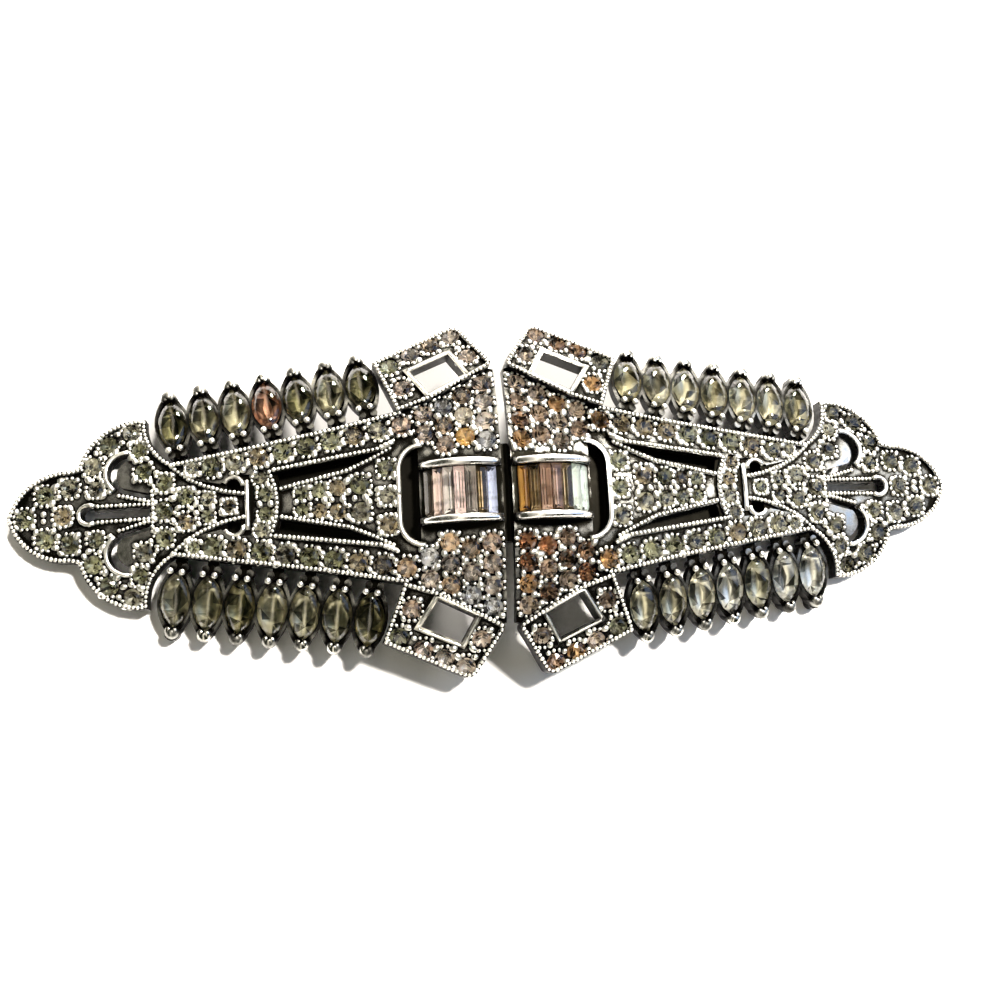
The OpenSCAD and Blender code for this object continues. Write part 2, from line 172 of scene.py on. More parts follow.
def shifted(path: Path, distance: float, closed: bool = False) -> Path:
    """A path moved to its left.

    Args:
        path: the points.
        distance: how far they move.
        closed: whether the last point joins the first.

    Returns:
        The moved points, mitred at the corners.
    """

    def left(a: Vector, b: Vector) -> Vector:
        """Unit vector to the left of the way from a to b."""
        way = (b - a).normalized()
        return Vector((-way.y, way.x))

    moved = []
    count = len(path)
    for i, point in enumerate(path):
        before = path[i - 1] if closed or i else 2 * point - path[1]
        after = path[(i + 1) % count] if closed or i < count - 1 else 2 * point - path[i - 1]
        one = left(before, point)
        mitre = (one + left(point, after)).normalized()
        moved.append(point + mitre * distance / mitre.dot(one))
    return moved


def inside(outline: Path, point: Vector, margin: float) -> bool:
    """Whether a point lies well inside an outline.

    Args:
        outline: a convex outline that runs counter to the clock.
        point: the point.
        margin: its least distance from the edges.

    Returns:
        True where it does.
    """
    edges = zip(outline, outline[1:] + outline[:1])
    return all((b - a).normalized().cross(point - a) > margin for a, b in edges)


def rounded(points: Path, radii: tuple[float, ...], steps: int = 5) -> Path:
    """An outline with rounded corners.

    Args:
        points: its corners.
        radii: radius of each corner.
        steps: stretches in each rounded corner.

    Returns:
        The outline's points.
    """
    outline = []
    for i, (corner, radius) in enumerate(zip(points, radii)):
        if not radius:
            outline.append(corner)
            continue
        to_a = (points[i - 1] - corner).normalized()
        to_b = (points[(i + 1) % len(points)] - corner).normalized()
        half = to_a.angle(to_b) / 2
        middle = corner + (to_a + to_b).normalized() * radius / math.sin(half)
        start = corner + to_a * radius / math.tan(half) - middle
        first = math.degrees(math.atan2(start.y, start.x))
        outline += arc(middle, radius, (first, first + 180 - math.degrees(2 * half)), steps)
    return outline


def steps_along(path: Path, pitch: float, closed: bool = False) -> list[tuple[Vector, float]]:
    """Evenly spaced places on a path.

    Args:
        path: the path's points.
        pitch: wanted spacing, which is fitted to the path's length.
        closed: whether the last point joins the first.

    Returns:
        Each place with the path's heading there, in radians.
    """
    corners = path + path[:1] if closed else path
    legs = [(a, b, (b - a).length) for a, b in zip(corners, corners[1:])]
    total = sum(leg[2] for leg in legs)
    count = max(1, round(total / pitch))
    places, walked, leg_number = [], 0.0, 0
    for i in range(count if closed else count + 1):
        wanted = total * i / count
        while leg_number < len(legs) - 1 and walked + legs[leg_number][2] < wanted:
            walked += legs[leg_number][2]
            leg_number += 1
        a, b, length = legs[leg_number]
        way = b - a
        places.append((a + way * (wanted - walked) / length, math.atan2(way.y, way.x)))
    return places


def sweep(
    bm: bmesh.types.BMesh, places: list[Matrix], radius: float, closed: bool = False, sides: int = 8
) -> None:
    """Adds a tube through some places.

    Args:
        bm: mesh that it goes into.
        places: the middle of each ring, with X along the tube.
        radius: the tube's radius, in the places' own units.
        closed: whether its end joins its start.
        sides: number of its sides.
    """
    upright = Matrix.Rotation(math.radians(90), 4, "Y")
    rings = []
    for place in places:
        ring = bmesh.ops.create_circle(
            bm, segments=sides, radius=radius, matrix=place @ upright, cap_ends=False
        )
        rings.append(list({edge for vert in ring["verts"] for edge in vert.link_edges}))
    for one, two in zip(rings, rings[1:] + rings[:1] if closed else rings[1:]):
        bmesh.ops.bridge_loops(bm, edges=one + two)
    if not closed:
        for end in (rings[0], rings[-1]):
            bmesh.ops.contextual_create(bm, geom=end)


def plan(*points: tuple[float, float]) -> Path:
    """Plan points as vectors."""
    return [Vector(p) for p in points]


@dataclass(frozen=True)
class Dome:
    """The curved face that both clips share: it slopes down from the centre to each tip."""

    # Slope from the centre line to each tip, radius of the face and thickness of the plate
    slope: float = math.radians(10)
    radius: float = 26.0
    plate: float = 1.2
    # Place in plan of the cups that touch the floor
    rests_at: tuple[float, float] = (28.6, 10.59)

    @property
    def crest(self) -> float:
        """Height of the centre's crest over the floor, with the outermost cups on the floor."""
        u, v = self.rests_at
        drop = self.radius - math.sqrt((self.radius - self.plate) ** 2 - v * v)
        return u * math.tan(self.slope) + drop / math.cos(self.slope)

    def place(
        self,
        side: Side,
        u: float,
        v: float,
        lift: float = 0.0,
        turn: float = 0.0,
        plumb: bool = False,
    ) -> Matrix:
        """Where something stands on the dome.

        Args:
            side: clip that it stands on.
            u: distance from the centre line.
            v: place across the brooch.
            lift: height above the plate's face.
            turn: turn about the dome's outward normal, in radians.
            plumb: whether it stands straight above its place in plan, as a rail does, and not
                along the outward normal, as a stone does.

        Returns:
            A matrix from millimetres with Z outwards to metres in the frame.
        """
        reach = self.radius + (lift if plumb else 0)
        sag = self.radius - math.sqrt(reach**2 - v * v)
        along = side.value * (u + sag * math.sin(self.slope)) / math.cos(self.slope)
        return (
            Matrix.Scale(MM, 4)
            @ Matrix.Translation((0, 0, self.crest))
            @ Matrix.Rotation(side.value * self.slope, 4, "Y")
            @ Matrix.Translation((along, 0, -self.radius))
            @ Matrix.Rotation(-math.asin(v / reach), 4, "X")
            @ Matrix.Translation((0, 0, self.radius + lift))
            @ Matrix.Rotation(turn, 4, "Z")
        )


@dataclass(frozen=True)
class CastRhodium:
    """Cast white metal, tumbled and plated with rhodium.

    It gives the eye a cold gleam on open faces that look outwards. Its walls, its back and the
    gaps between its beads are coloured nearly black: partly tarnish left as cast, partly painted
    shade.
    """

    name: str = "cast_rhodium_plate"
    bright: str = "cfcec6"
    # Colour of tarnish and painted shade in recesses, in gaps between beads and on walls
    dark: str = "0b0a07"
    bright_roughness: float = 0.13
    dark_roughness: float = 0.5
    # Widths of the recesses, and of the gaps between beads, that hold their dirt and painted shade
    recess: float = 1.2 * MM
    gap: float = 0.3 * MM
    # Share of open sky at which a recess, and at which a gap, begins to lose its dirt and painted
    # shade
    recess_clears: float = 0.78
    gap_clears: float = 0.7
    # Upward slope of a face that stays blackened with tarnish and painted shade, and of one that is
    # fully bright
    wall: float = 0.05
    face: float = 0.5
    # Blotches of tarnish: their size, the noise that they span and their strength
    blotch: float = 1.6 * MM
    blotch_span: tuple[float, float] = (0.35, 0.65)
    blotch_strength: float = 0.2
    # Grain left by the mould: its size, height and strength
    grain: float = 0.16 * MM
    grain_height: float = 0.02 * MM
    grain_strength: float = 0.2

    def build(self) -> Material:
        """Makes the material: tarnish and painted shade in deep places and on walls, and a cast
        grain.

        Returns:
            The material.
        """
        material, tree = new_material(self.name)
        place = add_node(tree, "ShaderNodeTexCoord").outputs["Object"]
        # Painted shade, partly tarnish: recesses and gaps between beads go darker the less open sky
        # they see
        depth = add_node(tree, "ShaderNodeAmbientOcclusion", {"Distance": self.recess}, samples=12)
        gap = add_node(tree, "ShaderNodeAmbientOcclusion", {"Distance": self.gap}, samples=8)
        blotch = add_node(
            tree, "ShaderNodeTexNoise", {"Vector": place, "Scale": 1 / self.blotch, "Detail": 3.0}
        )
        faint, deep = self.blotch_span
        stain = add_node(
            tree,
            "ShaderNodeMapRange",
            {0: blotch.outputs["Fac"], 1: faint, 2: deep, 3: self.blotch_strength, 4: 0.0},
        )
        open_face = add_node(
            tree,
            "ShaderNodeMath",
            {0: depth.outputs["AO"], 1: stain.outputs[0]},
            operation="SUBTRACT",
        )
        out_of_recess_dirt_and_shade = add_node(
            tree, "ShaderNodeMapRange", {0: open_face.outputs[0], 1: self.recess_clears, 2: 1.0}
        )
        # Gaps between beads keep tarnish and painted shade until they see enough sky
        rubbed = add_node(
            tree, "ShaderNodeMapRange", {0: gap.outputs["AO"], 1: self.gap_clears, 2: 1.0}
        )
        # Painted shade: walls, the back and other faces turned away from the lights are made darker
        # than upward faces
        facing = add_node(tree, "ShaderNodeTexCoord").outputs["Normal"]
        upward = add_node(tree, "ShaderNodeSeparateXYZ", {0: facing}).outputs["Z"]
        face_rubbed_and_lit = add_node(tree, "ShaderNodeMapRange", {0: upward, 1: self.wall, 2: self.face})
        # Bright metal only where a face looks up and out of recesses; elsewhere tarnish and painted
        # shade
        worn = add_node(
            tree, "ShaderNodeMath", {0: out_of_recess_dirt_and_shade.outputs[0], 1: face_rubbed_and_lit.outputs[0]}, operation="MULTIPLY"
        )
        bare_and_lit = add_node(
            tree, "ShaderNodeMath", {0: worn.outputs[0], 1: rubbed.outputs[0]}, operation="MULTIPLY"
        )
        colour = add_node(
            tree,
            "ShaderNodeMix",
            {0: bare_and_lit.outputs[0], 6: linear(self.dark), 7: linear(self.bright)},
            data_type="RGBA",
        )
        rough = add_node(
            tree,
            "ShaderNodeMapRange",
            {0: bare_and_lit.outputs[0], 3: self.dark_roughness, 4: self.bright_roughness},
        )
        grain = add_node(
            tree, "ShaderNodeTexNoise", {"Vector": place, "Scale": 1 / self.grain, "Detail": 2.0}
        )
        bump = add_node(
            tree,
            "ShaderNodeBump",
            {
                "Height": grain.outputs["Fac"],
                "Strength": self.grain_strength,
                "Distance": self.grain_height,
            },
        )
        shader = add_node(
            tree,
            "ShaderNodeBsdfPrincipled",
            {
                "Base Color": colour.outputs[2],
                "Metallic": 1.0,
                "Roughness": rough.outputs[0],
                "Normal": bump.outputs[0],
            },
        )
        add_node(tree, "ShaderNodeOutputMaterial", {"Surface": shader.outputs[0]})
        return material


@dataclass(frozen=True)
class PolishedMetal:
    """White metal burnished or worn smooth, such as beads, claws and rims.

    It gives the eye a small hard glint on every bead, and soft streaks along the rims.
    """

    name: str = "polished_white_metal"
    colour: str = "eae8e0"
    roughness: float = 0.25
    # Rougher patches: how much rougher, how big and the noise that they span
    rougher: float = 0.14
    patch: float = 0.9 * MM
    patch_span: tuple[float, float] = (0.3, 0.7)

    def build(self) -> Material:
        """Makes the material, with a faint uneven polish.

        Returns:
            The material.
        """
        material, tree = new_material(self.name)
        place = add_node(tree, "ShaderNodeTexCoord").outputs["Object"]
        wear = add_node(tree, "ShaderNodeTexNoise", {"Vector": place, "Scale": 1 / self.patch})
        smooth, rubbed = self.patch_span
        rough = add_node(
            tree,
            "ShaderNodeMapRange",
            {
                0: wear.outputs["Fac"],
                1: smooth,
                2: rubbed,
                3: self.roughness,
                4: self.roughness + self.rougher,
            },
        )
        shader = add_node(
            tree,
            "ShaderNodeBsdfPrincipled",
            {"Base Color": linear(self.colour), "Metallic": 1.0, "Roughness": rough.outputs[0]},
        )
        add_node(tree, "ShaderNodeOutputMaterial", {"Surface": shader.outputs[0]})
        return material


@dataclass(frozen=True)
class FoiledGlass:
    """Cut and polished lead glass, silvered on its back.

    The foil throws light back through the crown, and each back facet's colour is also painted
    lighter or darker at random as a flash, so that facets flash light and dark beside each other.
    Where it has died with age the stone looks brown or grey.
    """

    name: str = "clear_foiled_glass"
    foil_roughness: float = 0.3
    glass_roughness: float = 0.02
    ior: float = 1.56
    # Colour of dead foil, the size of its spots, the noise that they span and what they leave
    dead: str = "241c14"
    spot: float = 1.3 * MM
    spot_span: tuple[float, float] = (0.64, 0.5)
    spot_leaves: float = 0.35

    def build(self) -> tuple[Material, Material]:
        """Makes both materials, each tinted by the stone's own tint.

        Returns:
            The glass of the crown and the foil of the back.
        """
        glass, tree = new_material(self.name)
        tint = add_node(tree, "ShaderNodeAttribute", attribute_name="tint")
        shader = add_node(
            tree,
            "ShaderNodeBsdfPrincipled",
            {
                "Base Color": tint.outputs["Color"],
                "Roughness": self.glass_roughness,
                "IOR": self.ior,
                "Transmission Weight": 1.0,
            },
        )
        add_node(tree, "ShaderNodeOutputMaterial", {"Surface": shader.outputs[0]})

        back, tree = new_material(self.name + "_back")
        place = add_node(tree, "ShaderNodeTexCoord").outputs["Object"]
        # The back's tint carries each facet's painted flash
        tint = add_node(tree, "ShaderNodeAttribute", attribute_name="tint")
        spots = add_node(
            tree, "ShaderNodeTexNoise", {"Vector": place, "Scale": 1 / self.spot, "Detail": 4.0}
        )
        gone, sound = self.spot_span
        alive = add_node(
            tree,
            "ShaderNodeMapRange",
            {0: spots.outputs["Fac"], 1: gone, 2: sound, 3: self.spot_leaves, 4: 1.0},
        )
        colour = add_node(
            tree,
            "ShaderNodeMix",
            {0: alive.outputs[0], 6: linear(self.dead), 7: tint.outputs["Color"]},
            data_type="RGBA",
        )
        shader = add_node(
            tree,
            "ShaderNodeBsdfPrincipled",
            {"Base Color": colour.outputs[2], "Metallic": 1.0, "Roughness": self.foil_roughness},
        )
        add_node(tree, "ShaderNodeOutputMaterial", {"Surface": shader.outputs[0]})
        return glass, back


@dataclass(frozen=True)
class Tint:
    """Colour of one stone, and the painted light and dark flashes of its back facets."""

    colour: Colour
    shares: tuple[float, ...]
    draw: random.Random

    def facet(self) -> Colour:
        """Colour of one facet of the foiled back, darkened by a share drawn at random as a painted
        flash.
        """
        share = self.draw.choice(self.shares)
        return (*[c * share for c in self.colour[:3]], 1.0)


@dataclass
class Tints:
    """Colour of each stone: smoky at the arms, warm near the middle and cool at the right tip."""

    bright: tuple[str, ...] = ("fff8f0", "fff2e6", "fcf2e8", "ffffff", "fceedc")
    warm: tuple[str, ...] = ("f2e4d6", "e8d4c0", "f6ece0", "dcc0a8", "ecd6b8")
    smoky: tuple[str, ...] = ("eaead8", "dedecb", "f2f0e4", "d2d2bc", "eae2d0")
    cool: tuple[str, ...] = ("e4e2d4", "dad8c8", "ecebe0", "cfcdbe")
    # Pointed ovals: the foil is dullest in the left upper row and clearest in the right lower one
    dull: tuple[str, ...] = ("b4b19c", "aaa78f", "c4c1ae", "a29f86")
    grey: tuple[str, ...] = ("d6d3bf", "cecab4", "e2dfcd", "c6c2a8")
    clear: tuple[str, ...] = ("fbf8ea", "f0eddc", "fffef6", "e8e6d6")
    amber: str = "d0b4a0"
    amber_stone: tuple[Side, Row, int] = (Side.LEFT, Row.TOP, 4)
    # How far the middle's stones reach from the centre line, and where the right tip's begin
    middle_until: float = 9.0
    cool_from: float = 24.0
    # Foils aged gold and bright near the left barrel: side, place on the clip and colour
    odd: tuple = (
        (Side.LEFT, (3.25, 4.75), "f2dcb0"),
        (Side.LEFT, (3.25, 6.65), "fffaf0"),
    )
    odd_within: float = 0.1
    # Long stones of each barrel, from the centre line outwards: each stone's foil colour, and on
    # the left barrel's innermost stone a painted pale blue reflection
    long_left: tuple[str, ...] = (
        "eef2ff", "f4e2c0", "fffaf4", "fff4f0", "fffaf4", "f8ece4", "ece4da",
    )
    long_right: tuple[str, ...] = (
        "c8ae80", "d8c8ac", "d4c4b8", "dccabe", "f4e6ca", "f0f6f0", "eef6f2",
    )
    # Painted flashes: brightness of the back's facets, of which each facet takes one at random
    round_shares: tuple[float, ...] = (0.06, 0.35, 1.0, 1.0)
    oval_shares: tuple[float, ...] = (0.15, 0.4, 0.9, 1.0)
    long_shares: tuple[float, ...] = (0.1, 1.0, 1.0)
    odd_shares: tuple[float, ...] = (0.5, 1.0, 1.0)
    seed: int = 7
    draw: random.Random = field(init=False)

    def __post_init__(self) -> None:
        """Seeds the draws, so that each run gives the same stones."""
        self.draw = random.Random(self.seed)

    def oval(self, side: Side, row: Row, number: int) -> Tint:
        """A tint for a pointed oval stone.

        Args:
            side: clip that the stone is on.
            row: upper or lower row.
            number: its number from the tip, from 1.

        Returns:
            The stone's tint: smoky, or amber where its foil has aged most.
        """
        if (side, row, number) == self.amber_stone:
            choice = (self.amber,)
        elif (side, row) == (Side.LEFT, Row.TOP):
            choice = self.dull
        elif (side, row) == (Side.RIGHT, Row.BOTTOM):
            choice = self.clear
        else:
            choice = self.grey
        return Tint(linear(self.draw.choice(choice)), self.oval_shares, self.draw)

    def long(self, side: Side, number: int) -> Tint:
        """A tint for a long stone of a barrel, counted from the centre line."""
        colours = self.long_left if side is Side.LEFT else self.long_right
        return Tint(linear(colours[number]), self.long_shares, self.draw)

    def at(self, side: Side, u: float, v: float) -> Tint:
        """A tint for a round stone.

        Args:
            side: clip that the stone is on.
            u: its distance from the centre line.
            v: its place across the brooch.

        Returns:
            The stone's tint.
        """
        for odd_side, place, colour in self.odd:
            if side is odd_side and math.dist((u, v), place) < self.odd_within:
                return Tint(linear(colour), self.odd_shares, self.draw)
        if u < self.middle_until:
            choice = self.warm if side is Side.RIGHT else self.bright
        elif side is Side.RIGHT and u > self.cool_from:
            choice = self.cool
        else:
            choice = self.smoky
        return Tint(linear(self.draw.choice(choice)), self.round_shares, self.draw)


class Template:
    """A small mesh in millimetres that is copied many times."""

    def __init__(self, name: str) -> None:
        """Starts an empty template."""
        self.name = name
        self.bm = bmesh.new()

    def ring(
        self, sides: int, radius: float, height: float, turn: float = 0.0
    ) -> list[bmesh.types.BMVert]:
        """Adds a ring of points about Z.

        Args:
            sides: number of points.
            radius: radius of the ring.
            height: height of the ring.
            turn: turn about Z, in degrees.

        Returns:
            The ring's points.
        """
        at = Matrix.Translation((0, 0, height)) @ Matrix.Rotation(math.radians(turn), 4, "Z")
        return bmesh.ops.create_circle(self.bm, segments=sides, radius=radius, matrix=at)["verts"]

    def ball(self, around: int, up: int, height: float) -> None:
        """Adds a smooth ball of radius 1, flattened along Z.

        Args:
            around: number of its sides about Z.
            up: number of its rings of faces.
            height: its height, as a share of a full ball's.
        """
        bmesh.ops.create_uvsphere(self.bm, u_segments=around, v_segments=up, radius=1)
        bmesh.ops.scale(self.bm, vec=(1, 1, height), verts=self.bm.verts[:])
        for face in self.bm.faces:
            face.smooth = True

    def cut(self, worn: bool = False) -> None:
        """Cuts the stone that the points span, with foil as its second material below the girdle.

        Args:
            worn: whether its facets are worn into smooth curves.
        """
        bmesh.ops.convex_hull(self.bm, input=self.bm.verts, use_existing_faces=False)
        loose = [e for e in self.bm.edges if not e.link_faces]
        bmesh.ops.delete(self.bm, geom=loose, context="EDGES")
        stray = [v for v in self.bm.verts if not v.link_faces]
        bmesh.ops.delete(self.bm, geom=stray, context="VERTS")
        bmesh.ops.dissolve_limit(
            self.bm, angle_limit=FACET_TURN, verts=self.bm.verts[:], edges=self.bm.edges[:]
        )
        bmesh.ops.recalc_face_normals(self.bm, faces=self.bm.faces[:])
        self.bm.normal_update()
        for face in self.bm.faces:
            face.material_index = 1 if face.normal.z < -BACK_SLOPE else 0
            face.smooth = worn and abs(face.normal.z) > WORN_SLOPE

    def finish(self) -> bpy.types.Mesh:
        """Turns the template into mesh data.

        Returns:
            The mesh, in millimetres.
        """
        mesh = bpy.data.meshes.new(self.name)
        self.bm.to_mesh(mesh)
        self.bm.free()
        return mesh


def setting_bead() -> bpy.types.Mesh:
    """A bead of radius 1 such as holds a stone, flattened a little.

    Returns:
        The bead's mesh.
    """
    bead = Template("bead")
    bead.ball(around=10, up=6, height=0.85)
    return bead.finish()


class Joined:
    """One piece made of many placed copies of templates."""

    def __init__(self, name: str, materials: list[Material]) -> None:
        """Starts an empty piece.

        Args:
            name: the piece's name.
            materials: its finishes, in the order of the templates' own.
        """
        self.name = name
        self.materials = materials
        self.bm = bmesh.new()
        self.tint = self.bm.loops.layers.float_color.new("tint")

    def add(self, template: bpy.types.Mesh, place: Matrix, tint: Tint | None = None) -> None:
        """Adds a copy of a template.

        Args:
            template: mesh in millimetres.
            place: matrix to metres in the frame.
            tint: colour of the copy, for stones.
        """
        old_verts, old_faces = len(self.bm.verts), len(self.bm.faces)
        self.bm.from_mesh(template)
        self.bm.verts.ensure_lookup_table()
        self.bm.faces.ensure_lookup_table()
        bmesh.ops.transform(self.bm, matrix=place, verts=self.bm.verts[old_verts:])
        if tint:
            for face in self.bm.faces[old_faces:]:
                # Painted flashes: each back facet takes the stone's colour darkened by a share
                # drawn at random
                colour = tint.facet() if face.material_index else tint.colour
                for loop in face.loops:
                    loop[self.tint] = colour

    def round_off(self) -> None:
        """Turns all faces outwards and shades them smooth."""
        bmesh.ops.recalc_face_normals(self.bm, faces=self.bm.faces[:])
        for face in self.bm.faces:
            face.smooth = True

    def finish(self, slot: str, replaces: list[str] | None = None) -> bpy.types.Object:
        """Makes the object, rides it on the brooch and hides the CAD nodes that it stands for.

        Args:
            slot: not used.
            replaces: CAD nodes that it stands for.

        Returns:
            The finished object.
        """
        mesh = bpy.data.meshes.new(self.name)
        self.bm.to_mesh(mesh)
        self.bm.free()
        piece = bpy.data.objects.new(self.name, mesh)
        for material in self.materials:
            mesh.materials.append(material)
        bpy.context.scene.collection.objects.link(piece)
        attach(piece, BODY)
        if replaces:
            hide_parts(*replaces)
        LOG.info("%s: %d faces", self.name, len(mesh.polygons))
        return piece


@dataclass
class Layout:
    """Plan of a clip's metal and round stones, in millimetres."""

    # Width and height of the rails, and how far arms and wing panels stand above the plate
    rail_w: float = 0.4
    rail_h: float = 0.3
    arm_lift: float = 0.35
    panel_lift: float = 0.7
    # Wing panel and its open window, counter to the clock
    panel_corners: Path = field(
        default_factory=lambda: plan(
            (0.45, 11.2), (5.9, 8.2), (8.85, 7.2), (10.8, 12.1), (3.3, 15.6)
        )
    )
    panel_round: tuple[float, ...] = (0.5, 0, 0, 0, 0.9)
    window: Path = field(
        default_factory=lambda: plan((3, 10.35), (6.1, 8.75), (7.6, 10.95), (4.2, 12.45))
    )
    # Rails of the upper half, each along the edge that it stands on
    arm_outer: Path = field(
        default_factory=lambda: plan((8.7, 7.35), (15, 6.1), (21, 5.1), (27.8, 4))
    )
    slot_side: Path = field(default_factory=lambda: plan((19.3, 2.6), (10.6, 3.85), (9.2, 4.5)))
    tongue_rail: Path = field(
        default_factory=lambda: plan((9.6, 4.1), (11.4, 3.2), (13.2, 2.4), (18.8, 1.2))
    )
    slot_end: Path = field(default_factory=lambda: plan((19.75, 2.7), (19.3, 1.4), (19.15, 0)))
    palmette_rail: Path = field(
        default_factory=lambda: plan((22, 1), (23.6, 1.3), (25.2, 1.85), (26.6, 2.55), (28, 3.7))
    )
    # Edge of the tip: middle, radius and span in degrees of the hollow and of the shoulder lobe
    hollow: tuple = ((25.9, 7.9), 4.4, (-62, 3.5))
    shoulder: tuple = ((30.9, 3), 5.2, (87, 12.5))
    # Middle of the end lobe and where its arc starts, in degrees, and the apex that it runs to
    end_lobe: tuple[float, float] = (37, -1.2)
    end_from: float = 93
    tip_u: float = 42.0
    # Ribs inside the tip's fan, from end to end, and how far they lie below the plate's face
    ribs: tuple = (
        ((32.5, 1.5), (30.0, 0.85)),
        ((34.3, 0.68), (30.0, 0.62)),
        ((29.7, 1.7), (29.6, 0.2)),
    )
    rib_sunk: float = 0.2
    # Rows of round stones: first u, v, last u, v, number, diameter, lift
    stone_rows: tuple = (
        (1.5, 9.6, 1.5, 4.35, 4, 1.65, 0),
        (3.25, 8.55, 3.25, 4.75, 3, 1.65, 0),
        (4.95, 7.6, 4.95, 4.15, 3, 1.6, 0),
        (6.65, 7.05, 6.65, 5.25, 2, 1.6, 0),
        (8.5, 5.95, 24.6, 3.35, 9, 1.65, 0.35),
        (3.75, 14, 7.3, 12.45, 3, 1.65, 0.7),
    )
    # Single round stones: u, v, diameter, lift
    single_stones: tuple = (
        (2.45, 11.9, 1.6, 0.7), (9.25, 11.35, 1.65, 0.7), (8.2, 9.2, 1.6, 0.7),
        (26.15, 3.3, 1, 0.35),
        (9.95, 0, 1.4, 0), (9.95, 2.4, 1.5, 0), (12.2, 1.15, 1.65, 0),
        (14.1, 1, 1.4, 0), (15.65, 0.85, 1.25, 0), (17.1, 0.7, 1.1, 0),
        (20.15, 0.8, 1.2, 0), (20.55, 2.25, 1.15, 0),
        (23.2, 0, 1.1, 0), (25.05, 0.72, 1.15, 0), (26.85, 1.05, 1.4, 0),
        (28.7, 0, 1.6, 0), (28.7, 2.35, 1.5, 0),
        (30.45, 3.5, 1.5, 0), (30.85, 5.4, 1.3, 0), (31.6, 7.1, 1.5, 0), (33.5, 6.05, 1.6, 0),
        (34.8, 4.2, 1.6, 0), (34.5, 2.2, 1.35, 0), (36.75, 2.4, 1.6, 0), (38.85, 1.9, 1.6, 0),
        (37.3, 0, 1.5, 0), (40.55, 0, 1.6, 0),
    )
    # Places of single beads on plain metal away from the stones
    plain_spots: tuple = (
        (38.9, 0.3), (39.3, 0.8), (38.3, 0.75), (35.9, 1.5), (33.3, 1.9), (35.7, 3.2),
    )

    @property
    def panel_outline(self) -> Path:
        """Outline of the wing panel."""
        return rounded(self.panel_corners, self.panel_round)

    @property
    def tip_edge(self) -> Path:
        """Edge of the tip's upper half, from the first pointed oval stone to the apex.

        Returns:
            The edge's points.
        """
        apex = Vector((self.tip_u, 0)) - Vector(self.end_lobe)
        end_at = math.degrees(math.atan2(apex.y, apex.x))
        return (
            arc(*self.hollow, 6)
            + arc(*self.shoulder, 8)
            + arc(self.end_lobe, apex.length, (self.end_from, end_at), 8)
        )

    def upper_stones(self) -> list[tuple[float, float, float, float]]:
        """Round stones of the upper quarter and the long axis.

        Returns:
            Each stone's u, v, diameter and lift.
        """
        stones = []
        for u0, v0, u1, v1, count, size, lift in self.stone_rows:
            for i in range(count):
                t = i / (count - 1)
                stones.append((u0 + t * (u1 - u0), v0 + t * (v1 - v0), size, lift))
        return stones + list(self.single_stones)

    def stones(self) -> list[tuple[float, float, float, float]]:
        """All round stones of a clip, as u, v, diameter and lift."""
        upper = self.upper_stones()
        return upper + [(u, -v, size, lift) for u, v, size, lift in upper if v > 0]


